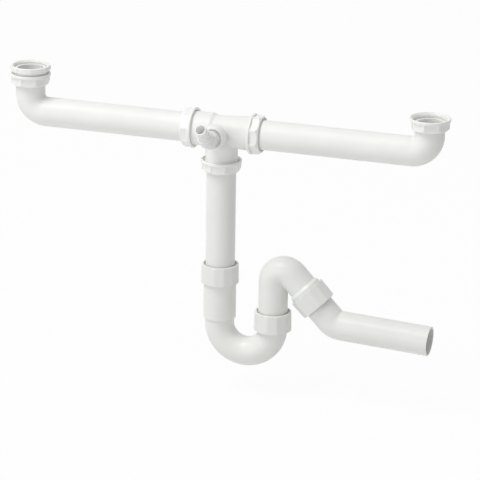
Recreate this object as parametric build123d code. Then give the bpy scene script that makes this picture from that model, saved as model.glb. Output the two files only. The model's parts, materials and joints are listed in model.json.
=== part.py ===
from build123d import *
from math import cos, pi, radians, sin, tan
import os

# Double bowl sink trap, in mm. The origin is the middle of the right inlet nut's thread, at its top.
# X runs along the two arms, Z is up, and the hose nozzle faces -Y.

# Pipe and sockets, for 40 mm waste pipe and 1 1/2 inch union threads
pipe_od = 42.0
pipe_wall = 2.3
slip = 0.35
socket_wall = 2.55
thread_gap = 0.35
thread_relief = 0.3
shoulder_gap = 0.5
flat_gap = 0.05
seat_depth = 2.0
seat_width = 1.2

# Lipped union nut, used at the tee and the inlets
lip_nut_height = 16.4
lip_thick = 4.0
lip_wall = 4.6
lip_flare = 2.3
lip_edge = 0.7
nut_flat_wall = 1.4
nut_sides = 8
nut_end_bevel = 3.4
nut_rib_width = 3.0
nut_rib_proud = 0.3
nut_shoulder = 2.25
nut_recess = 2.8
recess_gap = 2.6

# Tall trap nut
trap_nut_height = 27.5
trap_nut_wall = 2.5
trap_nut_sides = 12
trap_nut_taper = 1.4
trap_nut_shoulder = 5.5
trap_nut_recess = 3.5
trap_nut_round = 1.4
trap_nut_rim = 2.6
trap_nut_corner = 8.0

# Seals and washers
seal_height = 4.0
seal_gap = 0.3
seal_inset = 0.4
washer_thick = 1.8

# Arms
right_reach = 300.0
left_reach = 289.0
right_rise = 50.5
left_rise = 55.5
arm_bend = 24.5
arm_room = 6.0
flange_thick = 2.2

# Height extension on the left inlet
extension_gap = 4.5
extension_ring = 7.0
extension_cone = 3.5
extension_depth = 6.6
extension_wall = 2.4
extension_ribs = 8
extension_rib_width = 3.2
extension_rib_proud = 0.7

# Tee
tee_left = 46.0
tee_right = 51.5
tee_drop = 49.0
tee_socket_depth = 28.0
tee_drop_depth = 20.0
tee_stop = 5.0
tee_left_cone = 5.0
tee_right_step = 18.0
tee_flare = 27.0
tee_middle_wall = 3.0
branch_wall = 1.6
drop_room = 5.0

# Hose nozzle on the tee's front boss, for 3/4 inch thread
boss_reach = 34.0
boss_thread_d = 26.4
boss_bore_d = 18.0
nozzle_od = 22.5
nozzle_bore = 13.4
nozzle_flange = 2.5
nozzle_corner = 26.0
nozzle_length = 34.0
nozzle_tilt_deg = 45.0
nozzle_turn_deg = 7.0
nozzle_bend = 12.0
nozzle_land = 9.0
nozzle_step = 1.3
nozzle_steps = 2
nozzle_step_taper = 0.35
nozzle_washer_thick = 2.0
ring_nut_wall = 3.4
ring_nut_taper = 0.9
ring_nut_grip = 7.0
ring_nut_shoulder = 2.2
ring_nut_recess = 2.6
ring_nut_opening = 2.6
ring_nut_round = 0.8

# Trap
trap_drop = 209.5
trap_room = 25.0
trap_socket_depth = 60.5
trap_socket_floor = 6.5
trap_socket_skin = 1.9
trap_socket_cone = 2.5
u_radius = 40.0
u_depth = 115.0
leg_rise = 53.0
leg_socket_depth = 9.5
leg_room = 1.5
swan_rise = 99.2
swan_bend = 16.4
limb_fall_deg = 46.0
limb_length = 85.5
limb_socket_depth = 19.0
limb_socket_cone = 4.0
outlet_room = 2.0
outlet_offset = 47.0
outlet_fall_deg = 2.9
outlet_bend_radius = 24.0
outlet_length = 139.0

# Sizes that follow from the ones above
pipe_r = pipe_od / 2
bore_r = pipe_r - pipe_wall
socket_r = pipe_r + slip
thread_r = socket_r + socket_wall
nut_bore_r = thread_r + thread_gap
relief_r = nut_bore_r + thread_relief
lip_r = nut_bore_r + lip_wall
hole_r = pipe_r + shoulder_gap
recess_r = pipe_r + recess_gap
flange_r = thread_r - seal_inset

# Places that follow from the sizes
arm_z = lip_flare - right_rise
tee_x = -right_reach
left_x = tee_x - left_reach
trap_mouth_z = arm_z - trap_drop
u_bottom_z = trap_mouth_z - u_depth
leg_x = tee_x + 2 * u_radius
leg_mouth_z = u_bottom_z + leg_rise
swan_corner_z = leg_mouth_z + swan_rise
limb_dir = Vector(cos(radians(limb_fall_deg)), 0, -sin(radians(limb_fall_deg)))
swan_corner = Vector(leg_x, 0, swan_corner_z)
limb_mouth = swan_corner + limb_dir * limb_length
outlet_corner = limb_mouth + limb_dir * outlet_offset
outlet_dir = Vector(cos(radians(outlet_fall_deg)), 0, -sin(radians(outlet_fall_deg)))


def mouth(x, z, direction):
    """Frame at a socket's mouth, its local Z pointing out of the socket."""
    return Plane(origin=(x, 0, z), x_dir=(0, 1, 0), z_dir=direction)


left_mouth = mouth(tee_x - tee_left, arm_z, (-1, 0, 0))
right_mouth = mouth(tee_x + tee_right, arm_z, (1, 0, 0))
drop_mouth = mouth(tee_x, arm_z - tee_drop, (0, 0, -1))
trap_mouth = mouth(tee_x, trap_mouth_z, (0, 0, 1))
leg_mouth = mouth(leg_x, leg_mouth_z, (0, 0, 1))
outlet_mouth = mouth(limb_mouth.X, limb_mouth.Z, limb_dir)
boss_mouth = Plane(origin=(tee_x, -boss_reach, arm_z), x_dir=(1, 0, 0), z_dir=(0, -1, 0))


def turned(*points):
    """Solid of revolution about local Z from (radius, height) corners."""
    outline = Polyline(*points, close=True)
    return revolve(Plane.XZ * make_face(outline), Axis.Z)


def ring(outer, inner, low, high):
    return turned((inner, low), (outer, low), (outer, high), (inner, high))


def rod(radius, points, bend):
    """Round rod along a route of points in the XZ plane.

    Each corner is round outside, and where the bend is tighter than the rod the two runs meet inside it.
    """
    points = [Vector(*point) for point in points]
    start = points[0]
    shapes = []
    for before, corner, after in zip(points, points[1:], points[2:]):
        into = (corner - before).normalized()
        out = (after - corner).normalized()
        turn = into.get_angle(out)
        setback = bend * tan(radians(turn) / 2)
        arc_start = corner - into * setback
        inward = (out - into * into.dot(out)).normalized()
        section = Plane(origin=arc_start, x_dir=-inward, z_dir=into)
        half = Pos(radius, 0) * Rectangle(2 * (radius + bend), 3 * radius)
        profile = section * (Circle(radius) & half)
        pivot = Axis(arc_start + inward * bend, into.cross(out))
        shapes.append(revolve(profile, pivot, turn))
        if (arc_start - start).length > 0.001:
            shapes.append(straight(radius, start, arc_start))
        start = corner + out * setback
    shapes.append(straight(radius, start, points[-1]))
    return fuse(shapes)


def straight(radius, start, end):
    run = end - start
    return Plane(origin=start, z_dir=run.normalized()) * extrude(Circle(radius), run.length)


def fuse(shapes):
    whole = shapes[0]
    for shape in shapes[1:]:
        whole = whole + shape
    return whole


def beyond(point, towards, distance):
    """The point moved past the end of a run, so that a bore cuts clean through."""
    point = Vector(*point)
    return point + (point - Vector(*towards)).normalized() * distance


def pipe(points, bend):
    """Outside and bore of a pipe along a route, open at both ends."""
    through = [beyond(points[0], points[1], pipe_wall)] + points[1:-1] + [beyond(points[-1], points[-2], pipe_wall)]
    return rod(pipe_r, points, bend), rod(bore_r, through, bend)


def seat(depth):
    """Room cut in a socket: the pipe's bore with the seal's bevelled seat at its mouth."""
    return turned(
        (0, -depth),
        (socket_r, -depth),
        (socket_r, -seat_depth),
        (socket_r + seat_width, 0),
        (socket_r + seat_width, pipe_wall),
        (0, pipe_wall),
    )


def seal():
    """Tapered rubber seal, its nose in the socket's seat and its flat back to the nut."""
    inner = pipe_r + seal_gap
    nose = seat_depth * 0.6
    nose_r = socket_r + seat_width - seal_gap
    tip_r = nose_r - seat_width * 0.6
    return turned(
        (inner, -nose),
        (max(tip_r, inner + 0.05), -nose),
        (nose_r, 0),
        (flange_r, 0),
        (flange_r, seal_height - flat_gap),
        (inner, seal_height - flat_gap),
    )


def nut_inside(height, shoulder, recess, flare):
    """Hollow of a union nut: threaded bore below its shoulder, open recess above it."""
    low = seal_height + shoulder + recess - height
    top = seal_height + shoulder
    thread_end = seal_height - flat_gap - flange_thick - washer_thick
    return turned(
        (0, low),
        (nut_bore_r + flare, low),
        (nut_bore_r, low + flare),
        (nut_bore_r, thread_end),
        (relief_r, thread_end),
        (relief_r, seal_height),
        (hole_r, seal_height),
        (hole_r, top),
        (recess_r, top),
        (recess_r, top + recess),
        (0, top + recess),
    )


def lip_nut(turn_deg):
    """Eight-sided nut with a round lip at its mouth and a rib on each corner."""
    top = seal_height + nut_shoulder + nut_recess
    low = top - lip_nut_height
    flat_r = nut_bore_r + nut_flat_wall
    corner_r = flat_r / cos(pi / nut_sides)
    rib_r = corner_r + nut_rib_proud
    sides = RegularPolygon(corner_r, nut_sides)
    for index in range(nut_sides):
        sides += Rot(0, 0, index * 360 / nut_sides) * Pos(rib_r / 2, 0) * Rectangle(rib_r, nut_rib_width)
    body = Pos(0, 0, low) * extrude(sides, lip_nut_height)
    body &= turned(
        (0, low),
        (rib_r, low),
        (rib_r, top - nut_end_bevel),
        (rib_r - nut_end_bevel, top),
        (0, top),
    )
    edge = lip_edge
    lip = turned(
        (0, low),
        (lip_r - edge, low),
        (lip_r, low + edge),
        (lip_r, low + lip_thick - edge),
        (lip_r - edge, low + lip_thick),
        (0, low + lip_thick),
    )
    return Rot(0, 0, turn_deg) * (body + lip - nut_inside(lip_nut_height, nut_shoulder, nut_recess, lip_flare))


def trap_nut():
    """Tall twelve-sided nut, slightly wider at its mouth, with soft corners and a full round rim."""
    top = seal_height + trap_nut_shoulder + trap_nut_recess
    low = top - trap_nut_height
    mouth_r = (nut_bore_r + trap_nut_wall) / cos(pi / trap_nut_sides)
    sides = RegularPolygon(mouth_r, trap_nut_sides)
    sides = fillet(sides.vertices(), trap_nut_corner)
    body = Pos(0, 0, low) * extrude(sides, trap_nut_height, taper=trap_nut_taper)
    slope = tan(radians(trap_nut_taper))
    foot = trap_nut_round
    rim = trap_nut_rim
    top_r = mouth_r - slope * trap_nut_height
    with BuildSketch(Plane.XZ) as outline:
        with BuildLine():
            Polyline((0, top), (0, low), (mouth_r - foot, low))
            RadiusArc((mouth_r - foot, low), (mouth_r, low + foot), -foot)
            Line((mouth_r, low + foot), (top_r, top - rim))
            RadiusArc((top_r, top - rim), (top_r - rim, top), -rim)
            Line((top_r - rim, top), (0, top))
        make_face()
    body &= revolve(outline.sketch, Axis.Z)
    return body - nut_inside(trap_nut_height, trap_nut_shoulder, trap_nut_recess, foot / 2)


def inlet_frame(x, rise):
    """Frame of an inlet nut, with its mouth facing up and its seal height spent on the arm's flange."""
    low = seal_height + nut_shoulder + nut_recess - lip_nut_height
    return mouth(x, arm_z + rise + low, (0, 0, -1))


def flange_low(rise):
    return arm_z + rise - lip_nut_height + nut_recess + nut_shoulder + flat_gap


def arm(x, rise, pipe_end_x):
    """Long arm: pipe, tight elbow and upright end with the flange that its nut pulls on."""
    top = flange_low(rise) + flange_thick
    outside, bore = pipe([(pipe_end_x, 0, arm_z), (x, 0, arm_z), (x, 0, top)], arm_bend)
    flange = Pos(x, 0, flange_low(rise)) * ring(flange_r, bore_r, 0, flange_thick)
    return outside - bore + flange


def washer_low(rise):
    return flange_low(rise) + flange_thick


def inlet_washer(x, rise):
    return Pos(x, 0, washer_low(rise)) * ring(flange_r, bore_r + slip, 0, washer_thick)


def extension():
    """Height extension: male thread below, lipped ring with a female thread above."""
    low = washer_low(left_rise) + washer_thick + flat_gap
    ring_low = arm_z + left_rise + extension_gap
    top = ring_low + extension_ring
    floor = top - extension_depth
    inner = bore_r + slip
    edge = lip_edge
    bevel = extension_wall / 3
    body = turned(
        (inner, low),
        (thread_r - edge, low),
        (thread_r, low + edge),
        (thread_r, ring_low - extension_cone),
        (lip_r - edge, ring_low),
        (lip_r - edge, top - edge),
        (lip_r - 2 * edge, top),
        (nut_bore_r + bevel, top),
        (nut_bore_r, top - bevel),
        (nut_bore_r, floor + washer_thick + flat_gap),
        (relief_r, floor + washer_thick + flat_gap),
        (relief_r, floor),
        (inner, floor),
    )
    reach = lip_r - edge + extension_rib_proud
    for index in range(extension_ribs):
        bar = Pos(reach - extension_wall / 2, 0, (ring_low + top) / 2) * Box(
            extension_wall, extension_rib_width, extension_ring - 2 * edge
        )
        body += Rot(0, 0, (index + 0.5) * 360 / extension_ribs) * bar
    return Pos(left_x, 0, 0) * body


def extension_washer():
    floor = arm_z + left_rise + extension_gap + extension_ring - extension_depth
    return Pos(left_x, 0, floor) * ring(flange_r, bore_r + slip, 0, washer_thick)


def along_x(shape):
    return Pos(tee_x, 0, arm_z) * Rot(0, 90, 0) * shape


def tee():
    """Tee moulding: two side sockets, a bottom socket and the hose nozzle's threaded boss."""
    middle_r = bore_r + tee_middle_wall
    step_x = tee_socket_depth + tee_stop - tee_left
    run = turned(
        (0, -tee_left),
        (thread_r, -tee_left),
        (thread_r, step_x),
        (middle_r, step_x + tee_left_cone),
        (middle_r, tee_right - tee_right_step - tee_flare),
        (thread_r, tee_right - tee_right_step),
        (thread_r, tee_right),
        (0, tee_right),
    )
    branch_r = socket_r + branch_wall
    thread_top = -tee_drop + lip_nut_height - nut_shoulder - nut_recess - seal_height
    branch = turned(
        (0, -tee_drop),
        (thread_r, -tee_drop),
        (thread_r, thread_top),
        (branch_r, thread_top + thread_r - branch_r),
        (branch_r, 0),
        (0, 0),
    )
    boss_r = boss_thread_d / 2
    body = along_x(run) + Pos(tee_x, 0, arm_z) * branch + boss_mouth * ring_solid(boss_r, -boss_reach, 0)
    body -= along_x(ring_solid(bore_r, -tee_left, tee_right))
    body -= left_mouth * seat(tee_socket_depth)
    body -= right_mouth * seat(tee_socket_depth)
    body -= drop_mouth * seat(tee_drop_depth)
    body -= Pos(tee_x, 0, arm_z) * ring_solid(bore_r, -tee_drop, 0)
    body -= boss_mouth * ring_solid(boss_bore_d / 2, -boss_reach, pipe_wall)
    return body


def ring_solid(radius, low, high):
    return turned((0, low), (radius, low), (radius, high), (0, high))


def down_pipe():
    top = arm_z - tee_drop + tee_drop_depth - drop_room
    low = trap_mouth_z - trap_socket_depth + trap_room
    return Pos(tee_x, 0, 0) * ring(pipe_r, bore_r, low, top)


def u_bend():
    """U-bend with a long adjustable inlet socket and a short socket on its second leg."""
    bottom = u_bottom_z
    tube_top = trap_mouth_z - trap_socket_depth - pipe_wall
    route = [(tee_x, 0, tube_top), (tee_x, 0, bottom), (leg_x, 0, bottom), (leg_x, 0, leg_mouth_z)]
    outside, bore = pipe(route, u_radius)
    nut_low = seal_height + trap_nut_shoulder + trap_nut_recess - trap_nut_height
    skin_r = socket_r + trap_socket_skin
    socket_length = trap_socket_depth + trap_socket_floor
    inlet = turned(
        (0, -socket_length - trap_socket_cone),
        (pipe_r, -socket_length - trap_socket_cone),
        (skin_r, -socket_length),
        (skin_r, nut_low),
        (thread_r, nut_low + thread_r - skin_r),
        (thread_r, 0),
        (0, 0),
    )
    leg = turned(
        (0, -leg_socket_depth - pipe_wall),
        (pipe_r, -leg_socket_depth - pipe_wall),
        (thread_r, -leg_socket_depth + socket_wall - pipe_wall),
        (thread_r, 0),
        (0, 0),
    )
    body = outside + trap_mouth * inlet + leg_mouth * leg - bore
    return body - trap_mouth * seat(trap_socket_depth) - leg_mouth * seat(leg_socket_depth)


def swan_neck():
    """Rising leg, tight bend and falling limb, which ends in a threaded socket."""
    low = leg_mouth_z - leg_socket_depth + leg_room
    route = [(leg_x, 0, low), tuple(swan_corner), tuple(limb_mouth)]
    outside, bore = pipe(route, swan_bend)
    socket_low = -limb_socket_depth - limb_socket_cone
    socket = turned(
        (0, socket_low),
        (pipe_r, socket_low),
        (thread_r, -limb_socket_depth),
        (thread_r, 0),
        (0, 0),
    )
    return outside + outlet_mouth * socket - bore - outlet_mouth * seat(limb_socket_depth)


def outlet_bend():
    """Outlet bend: slanted end in the swan neck's socket, then the open outlet pipe."""
    start = limb_mouth - limb_dir * (limb_socket_depth - outlet_room)
    end = outlet_corner + outlet_dir * outlet_length
    outside, bore = pipe([tuple(start), tuple(outlet_corner), tuple(end)], outlet_bend_radius)
    return outside - bore


def hose_nozzle():
    """Hose nozzle: flange, neck, tilted elbow and a tail stepped for several hose sizes."""
    tilt = radians(nozzle_tilt_deg)
    tail_dir = Vector(0, sin(tilt), cos(tilt))
    corner = Vector(0, 0, nozzle_corner)
    land_end = nozzle_bend * tan(tilt / 2) + nozzle_land
    base = nozzle_washer_thick
    root_r = nozzle_od / 2
    neck = turned_rod(root_r, [Vector(0, 0, base), corner, corner + tail_dir * land_end], nozzle_bend)
    body = neck + ring_solid(boss_thread_d / 2 - thread_gap, base, base + nozzle_flange)
    tail_plane = Plane(origin=corner, x_dir=(1, 0, 0), z_dir=tail_dir)
    step_length = (nozzle_length - land_end) / nozzle_steps
    for index in range(nozzle_steps):
        radius = root_r - (index + 1) * nozzle_step
        low = land_end + index * step_length
        high = low + step_length
        body += tail_plane * turned((0, low), (radius, low), (radius - nozzle_step_taper, high), (0, high))
    tip = corner + tail_dir * (nozzle_length + pipe_wall)
    through = [Vector(0, 0, base - pipe_wall), corner, tip]
    return boss_mouth * Rot(0, 0, nozzle_turn_deg) * (body - turned_rod(nozzle_bore / 2, through, nozzle_bend))


def turned_rod(radius, points, bend):
    """A rod whose route lies in the local YZ plane."""
    flat = [(point.Y, 0, point.Z) for point in points]
    return Rot(0, 0, 90) * rod(radius, flat, bend)


def nozzle_washer():
    return boss_mouth * ring(boss_thread_d / 2 - seal_inset, boss_bore_d / 2, 0, nozzle_washer_thick - flat_gap)


def nozzle_nut():
    """Round ring nut that draws the nozzle's flange onto the boss."""
    bore = boss_thread_d / 2 + thread_gap
    seat_z = nozzle_washer_thick + nozzle_flange + flat_gap
    recess_z = seat_z + ring_nut_shoulder
    top = recess_z + ring_nut_recess
    back_r = bore + ring_nut_wall
    front_r = back_r - ring_nut_taper
    neck_r = nozzle_od / 2 + shoulder_gap
    opening_r = neck_r + ring_nut_opening
    edge = ring_nut_round
    return boss_mouth * turned(
        (bore, -ring_nut_grip),
        (back_r - edge, -ring_nut_grip),
        (back_r, edge - ring_nut_grip),
        (front_r, top - edge),
        (front_r - edge, top),
        (opening_r, top),
        (opening_r, recess_z),
        (neck_r, recess_z),
        (neck_r, seat_z),
        (bore, seat_z),
    )


arm_insert = tee_socket_depth - arm_room
right_pipe_end = tee_x + tee_right - arm_insert
left_pipe_end = tee_x - tee_left + arm_insert

pieces = {
    "tee_body": tee(),
    "right_arm": arm(0, right_rise, right_pipe_end),
    "right_arm_seal": right_mouth * seal(),
    "right_arm_nut": right_mouth * lip_nut(20),
    "left_arm": arm(left_x, left_rise, left_pipe_end),
    "left_arm_seal": left_mouth * seal(),
    "left_arm_nut": left_mouth * lip_nut(12),
    "right_inlet_nut": inlet_frame(0, right_rise) * lip_nut(4),
    "right_inlet_washer": inlet_washer(0, right_rise),
    "left_inlet_nut": inlet_frame(left_x, left_rise) * lip_nut(8),
    "left_inlet_washer": inlet_washer(left_x, left_rise),
    "inlet_extension": extension(),
    "extension_washer": extension_washer(),
    "hose_nozzle": hose_nozzle(),
    "nozzle_washer": nozzle_washer(),
    "nozzle_nut": nozzle_nut(),
    "down_pipe": down_pipe(),
    "down_pipe_seal": drop_mouth * seal(),
    "down_pipe_nut": drop_mouth * lip_nut(16),
    "u_bend": u_bend(),
    "trap_inlet_seal": trap_mouth * seal(),
    "trap_inlet_nut": trap_mouth * trap_nut(),
    "trap_joint_seal": leg_mouth * seal(),
    "trap_joint_nut": leg_mouth * trap_nut(),
    "swan_neck": swan_neck(),
    "outlet_seal": outlet_mouth * seal(),
    "outlet_nut": outlet_mouth * trap_nut(),
    "outlet_bend": outlet_bend(),
}

os.makedirs("parts", exist_ok=True)
for name, piece in pieces.items():
    export_step(piece, f"parts/{name}.step")
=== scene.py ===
import json
from math import cos, pi, radians, sin

import bpy
from mathutils import Matrix, Vector


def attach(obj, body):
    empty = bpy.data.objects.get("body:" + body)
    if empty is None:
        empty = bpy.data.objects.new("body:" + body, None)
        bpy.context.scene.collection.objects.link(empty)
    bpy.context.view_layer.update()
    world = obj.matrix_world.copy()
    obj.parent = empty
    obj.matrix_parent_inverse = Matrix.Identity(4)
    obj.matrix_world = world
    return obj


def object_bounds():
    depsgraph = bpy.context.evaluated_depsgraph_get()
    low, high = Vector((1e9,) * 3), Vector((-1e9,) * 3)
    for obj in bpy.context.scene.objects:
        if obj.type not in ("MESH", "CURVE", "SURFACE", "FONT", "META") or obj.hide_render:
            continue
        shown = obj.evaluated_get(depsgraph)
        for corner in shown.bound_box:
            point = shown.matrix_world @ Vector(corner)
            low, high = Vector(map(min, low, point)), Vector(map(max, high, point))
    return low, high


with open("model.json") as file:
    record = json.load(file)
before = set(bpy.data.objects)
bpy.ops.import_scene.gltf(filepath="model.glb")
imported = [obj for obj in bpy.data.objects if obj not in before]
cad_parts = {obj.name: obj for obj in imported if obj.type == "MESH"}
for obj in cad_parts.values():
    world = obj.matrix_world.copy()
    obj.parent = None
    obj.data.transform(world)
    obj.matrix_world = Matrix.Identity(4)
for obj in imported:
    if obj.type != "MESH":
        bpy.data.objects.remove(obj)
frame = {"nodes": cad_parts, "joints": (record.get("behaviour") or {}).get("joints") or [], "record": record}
cad_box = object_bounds()
MM = 0.001

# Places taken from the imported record, in metres
joints = {joint["name"]: joint for joint in frame["joints"]}
mounts = {mount["name"]: mount for mount in frame["record"]["mounts"]}


def joint_pos(name):
    return Vector(joints[name]["pos_m"])


# Materials

# Most of a noise texture's values lie between these
NOISE_LOW, NOISE_HIGH = 0.3, 0.7
# How far the roughness wanders to either side
SMOOTHER, ROUGHER = 0.05, 0.08


def add_node(tree, kind, values):
    """New node of this kind, with the named sockets set."""
    node = tree.nodes.new(kind)
    for socket, value in values.items():
        node.inputs[socket].default_value = value
    return node


def add_noise(tree, coords, values):
    """Noise in the piece's own coordinates."""
    node = add_node(tree, "ShaderNodeTexNoise", values)
    tree.links.new(coords.outputs["Object"], node.inputs["Vector"])
    return node


def add_bump(tree, height, strength, distance, below=None):
    """Bump from a height socket, laid over the bump below it."""
    node = add_node(tree, "ShaderNodeBump", {"Strength": strength, "Distance": distance})
    tree.links.new(height, node.inputs["Height"])
    if below is not None:
        tree.links.new(below.outputs["Normal"], node.inputs["Normal"])
    return node


def add_mould_line(tree, coords, axis, below):
    """Low ridge where the piece's own coordinate along this axis is nought."""
    split = tree.nodes.new("ShaderNodeSeparateXYZ")
    tree.links.new(coords.outputs["Object"], split.inputs["Vector"])
    off = tree.nodes.new("ShaderNodeMath")
    off.operation = "ABSOLUTE"
    tree.links.new(split.outputs[axis], off.inputs[0])
    line = add_node(
        tree,
        "ShaderNodeMapRange",
        {"From Min": 0.0, "From Max": 0.6 * MM, "To Min": 1.0, "To Max": 0.0},
    )
    tree.links.new(off.outputs["Value"], line.inputs["Value"])
    return add_bump(tree, line.outputs["Result"], 0.35, 0.4 * MM, below)


def plastic(name, light, dark, roughness, seam=None, scatter=0.04, depth=3 * MM):
    """Moulded plastic: faint cloudy colour, uneven gloss and a fine skin.

    seam names the axis that the mould line is square to, if there is one. scatter is the share of
    the light that goes into the wall, and depth is how far it goes.
    """
    mat = bpy.data.materials.new(name)
    mat.use_nodes = True
    tree = mat.node_tree
    links = tree.links
    shader = tree.nodes["Principled BSDF"]
    coords = tree.nodes.new("ShaderNodeTexCoord")

    cloud = add_noise(tree, coords, {"Scale": 26.0, "Detail": 5.0, "Roughness": 0.55})
    tint = tree.nodes.new("ShaderNodeValToRGB")
    first, last = tint.color_ramp.elements
    first.position, first.color = NOISE_LOW, (*dark, 1)
    last.position, last.color = NOISE_HIGH, (*light, 1)
    links.new(cloud.outputs["Fac"], tint.inputs["Fac"])
    links.new(tint.outputs["Color"], shader.inputs["Base Color"])

    gloss = add_noise(tree, coords, {"Scale": 140.0, "Detail": 4.0})
    spread = add_node(
        tree,
        "ShaderNodeMapRange",
        {
            "From Min": NOISE_LOW,
            "From Max": NOISE_HIGH,
            "To Min": roughness - SMOOTHER,
            "To Max": roughness + ROUGHER,
        },
    )
    links.new(gloss.outputs["Fac"], spread.inputs["Value"])
    links.new(spread.outputs["Result"], shader.inputs["Roughness"])

    skin = add_noise(tree, coords, {"Scale": 900.0, "Detail": 3.0})
    fine = add_bump(tree, skin.outputs["Fac"], 0.10, 0.2 * MM)
    flow = add_noise(tree, coords, {"Scale": 55.0, "Detail": 2.0})
    surface = add_bump(tree, flow.outputs["Fac"], 0.12, 0.8 * MM, fine)
    if seam is not None:
        surface = add_mould_line(tree, coords, seam, surface)
    links.new(surface.outputs["Normal"], shader.inputs["Normal"])

    shader.inputs["IOR"].default_value = 1.49
    shader.inputs["Specular IOR Level"].default_value = 0.45
    shader.inputs["Subsurface Weight"].default_value = scatter
    shader.inputs["Subsurface Radius"].default_value = (1.0, 1.0, 1.0)
    shader.inputs["Subsurface Scale"].default_value = depth
    return mat


white_pipe = plastic("white_pipe", (0.90, 0.90, 0.88), (0.865, 0.865, 0.845), 0.46, seam="Y")
white_nut = plastic("white_nut", (0.93, 0.93, 0.912), (0.90, 0.90, 0.882), 0.40)
# The nozzle's thin wall lets light through to its bore
nozzle_white = plastic(
    "nozzle_white", (0.93, 0.93, 0.91), (0.90, 0.90, 0.88), 0.44, scatter=0.8, depth=8 * MM
)
trap_pipe = plastic("trap_pipe", (0.86, 0.868, 0.84), (0.825, 0.833, 0.805), 0.34, seam="Y")
trap_nut = plastic("trap_nut", (0.85, 0.858, 0.83), (0.815, 0.823, 0.795), 0.40)
washer = plastic("washer_white", (0.93, 0.93, 0.912), (0.89, 0.89, 0.872), 0.5)
black = plastic(
    "seal_rubber", (0.075, 0.075, 0.078), (0.045, 0.045, 0.047), 0.62, scatter=0.0
)

finish = {
    "white_plastic": white_pipe,
    "trap_plastic": trap_pipe,
    "washer_plastic": washer,
    "rubber": black,
}
slots = {part["node"]: part["material_slot"] for part in frame["record"]["subparts"]}
for node, obj in frame["nodes"].items():
    mat = finish[slots[node]]
    if node.endswith("_nut") or node == "inlet_extension":
        mat = trap_nut if slots[node] == "trap_plastic" else white_nut
    elif node == "hose_nozzle":
        mat = nozzle_white
    obj.data.materials.clear()
    obj.data.materials.append(mat)


# Threads

PITCH = 2.309 * MM
TURN_STEPS = 72
FADE_STEPS = 18
# The ridge's half widths at its foot and crest, and the length it leaves free, in pitches
FOOT, CREST, FREE = 0.42, 0.10, 0.8
# How far the ridge's foot is sunk into the wall that carries it
FOOT_SUNK = 0.12 * MM
INNER_RIDGE = -0.75 * MM
OUTER_RIDGE = 0.28 * MM
OUTER_R = 23.9 * MM
# Where the outer threads start, measured from their nut's joint, and how long they are
EXTENSION_START, EXTENSION_LENGTH = -6.5 * MM, 8.6 * MM
TEE_START, TEE_LENGTH = 0.4 * MM, 8.4 * MM


def thread(name, body, mat, centre, axis, start, length, root, height):
    """Helical ridge round an axis, from start to start + length.

    root is the radius of the wall that carries it, and a negative height points inwards.
    """
    centre = Vector(centre)
    axis = Vector(axis).normalized()
    side = axis.orthogonal().normalized()
    across = axis.cross(side)
    count = int(TURN_STEPS * ((length - FREE * PITCH) / PITCH))
    foot = root + (-FOOT_SUNK if height > 0 else FOOT_SUNK)
    verts, faces = [], []
    for i in range(count + 1):
        angle = 2 * pi * i / TURN_STEPS
        along = start + FOOT * PITCH + PITCH * i / TURN_STEPS
        fade = min(1.0, i / FADE_STEPS, (count - i) / FADE_STEPS)
        crest = root + height * fade
        spoke = side * cos(angle) + across * sin(angle)
        for shift, radius in ((-FOOT, foot), (-CREST, crest), (CREST, crest), (FOOT, foot)):
            verts.append(centre + axis * (along + shift * PITCH) + spoke * radius)
    for i in range(count):
        here, there = 4 * i, 4 * (i + 1)
        for k in range(4):
            after = (k + 1) % 4
            faces.append((here + k, here + after, there + after, there + k))
    faces.append((0, 3, 2, 1))
    faces.append(tuple(range(4 * count, 4 * count + 4)))
    if height < 0:
        faces = [face[::-1] for face in faces]
    mesh = bpy.data.meshes.new(name)
    mesh.from_pydata([tuple(v) for v in verts], [], faces)
    mesh.materials.append(mat)
    mesh.update()
    obj = bpy.data.objects.new(name, mesh)
    bpy.context.scene.collection.objects.link(obj)
    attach(obj, body)


for name, body in (("right_inlet", "right_inlet_nut"), ("left_inlet", "inlet_extension")):
    mount = mounts[name]
    thread(
        f"{name}_thread",
        body,
        white_nut,
        mount["pos_m"],
        (0, 0, -1),
        0.0,
        mount["dims"]["length_mm"] * MM,
        mount["dims"]["r_mm"] * MM,
        INNER_RIDGE,
    )
thread(
    "extension_thread",
    "inlet_extension",
    white_nut,
    joint_pos("left_inlet_nut_turn"),
    (0, 0, 1),
    EXTENSION_START,
    EXTENSION_LENGTH,
    OUTER_R,
    OUTER_RIDGE,
)
for name, joint, axis in (
    ("tee_left_thread", "left_arm_nut_turn", (1, 0, 0)),
    ("tee_right_thread", "right_arm_nut_turn", (-1, 0, 0)),
    ("tee_drop_thread", "down_pipe_nut_turn", (0, 0, 1)),
):
    thread(
        name,
        "tee",
        white_pipe,
        joint_pos(joint),
        axis,
        TEE_START,
        TEE_LENGTH,
        OUTER_R,
        OUTER_RIDGE,
    )


# Floor and light

FLOOR_SIZE = 8
FLOOR_DROP = 0.04
FLOOR_WHITE, SKY_WHITE = 0.95, 0.97
SKY_STRENGTH = 0.455
# Place from the part's middle and size in metres, then power in watts
LAMPS = (
    ("key", (-1.75, -1.7, 4.0), 2.2, 98),
    ("top", (0.6, 0.6, 4.0), 2.0, 13),
    ("front", (-1.9, -4.0, 0.6), 2.4, 32),
)


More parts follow.
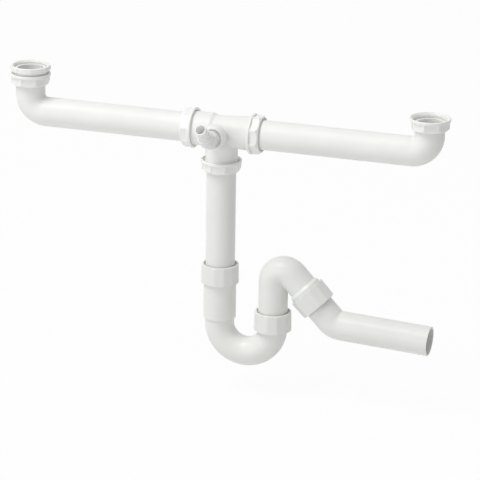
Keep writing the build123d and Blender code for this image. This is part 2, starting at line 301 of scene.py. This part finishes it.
def show_white(tree, plain, glow_kind, share, out_socket):
    """Camera, gloss and glass see this share of white over the plain shader.

    All other rays see the plain shader alone, so the white doesn't light the part.
    """
    nodes, links = tree.nodes, tree.links
    path = nodes.new("ShaderNodeLightPath")
    seen = path.outputs["Is Camera Ray"]
    for ray in ("Is Glossy Ray", "Is Transmission Ray"):
        either = nodes.new("ShaderNodeMath")
        either.operation = "MAXIMUM"
        links.new(seen, either.inputs[0])
        links.new(path.outputs[ray], either.inputs[1])
        seen = either.outputs["Value"]
    part = nodes.new("ShaderNodeMath")
    part.operation = "MULTIPLY"
    part.inputs[1].default_value = share
    links.new(seen, part.inputs[0])
    glow = add_node(tree, glow_kind, {"Color": (1, 1, 1, 1), "Strength": 1.0})
    mix = nodes.new("ShaderNodeMixShader")
    links.new(part.outputs["Value"], mix.inputs["Fac"])
    links.new(plain.outputs[0], mix.inputs[1])
    links.new(glow.outputs[0], mix.inputs[2])
    links.new(mix.outputs["Shader"], out_socket)


def area_light(name, place, target, size, power):
    lamp = bpy.data.lights.new(name, "AREA")
    lamp.shape = "DISK"
    lamp.size = size
    lamp.energy = power
    obj = bpy.data.objects.new(name, lamp)
    bpy.context.scene.collection.objects.link(obj)
    obj.location = place
    obj.rotation_euler = (target - place).to_track_quat("-Z", "Y").to_euler()


low, high = Vector(cad_box[0]), Vector(cad_box[1])
middle = (low + high) / 2
bpy.ops.mesh.primitive_plane_add(
    size=FLOOR_SIZE, location=(middle.x, middle.y, low.z - FLOOR_DROP)
)
floor = bpy.context.object
floor.name = "floor"
paper = bpy.data.materials.new("floor_white")
paper.use_nodes = True
paper_nodes = paper.node_tree.nodes
paper_nodes.remove(paper_nodes["Principled BSDF"])
matt = add_node(paper.node_tree, "ShaderNodeBsdfDiffuse", {"Color": (0.85, 0.85, 0.85, 1)})
paper_out = paper_nodes["Material Output"].inputs["Surface"]
show_white(paper.node_tree, matt, "ShaderNodeEmission", FLOOR_WHITE, paper_out)
floor.data.materials.append(paper)

world = bpy.data.worlds.new("studio")
world.use_nodes = True
bpy.context.scene.world = world
sky = world.node_tree.nodes["Background"]
sky.inputs["Color"].default_value = (1, 1, 1, 1)
sky.inputs["Strength"].default_value = SKY_STRENGTH
world_out = world.node_tree.nodes["World Output"].inputs["Surface"]
show_white(world.node_tree, sky, "ShaderNodeBackground", SKY_WHITE, world_out)

for name, offset, size, power in LAMPS:
    area_light(name, middle + Vector(offset), middle, size, power)


# Camera, fitted to the photograph's pipes and nuts

AZIMUTH, ELEVATION, ROLL = radians(18.2), radians(18.7), radians(0.85)
DISTANCE = 4.0
AIM = Vector((-0.2709, 0.0, -0.2068))
SENSOR = 36
IMAGE_PIXELS = 480
PIXELS_PER_METRE = 705.8

back = Vector(
    (sin(AZIMUTH) * cos(ELEVATION), -cos(AZIMUTH) * cos(ELEVATION), sin(ELEVATION))
)
right = Vector((cos(AZIMUTH), sin(AZIMUTH), 0))
up = back.cross(right)
camera_right = right * cos(ROLL) + up * sin(ROLL)
camera_up = up * cos(ROLL) - right * sin(ROLL)
place = AIM + back * DISTANCE
lens = bpy.data.cameras.new("camera")
lens.sensor_width = SENSOR
lens.lens = PIXELS_PER_METRE * DISTANCE / IMAGE_PIXELS * SENSOR
camera = bpy.data.objects.new("camera", lens)
bpy.context.scene.collection.objects.link(camera)
camera.matrix_world = Matrix(
    (
        (camera_right.x, camera_up.x, back.x, place.x),
        (camera_right.y, camera_up.y, back.y, place.y),
        (camera_right.z, camera_up.z, back.z, place.z),
        (0, 0, 0, 1),
    )
)
bpy.context.scene.camera = camera
bpy.context.scene.view_settings.view_transform = "Standard"
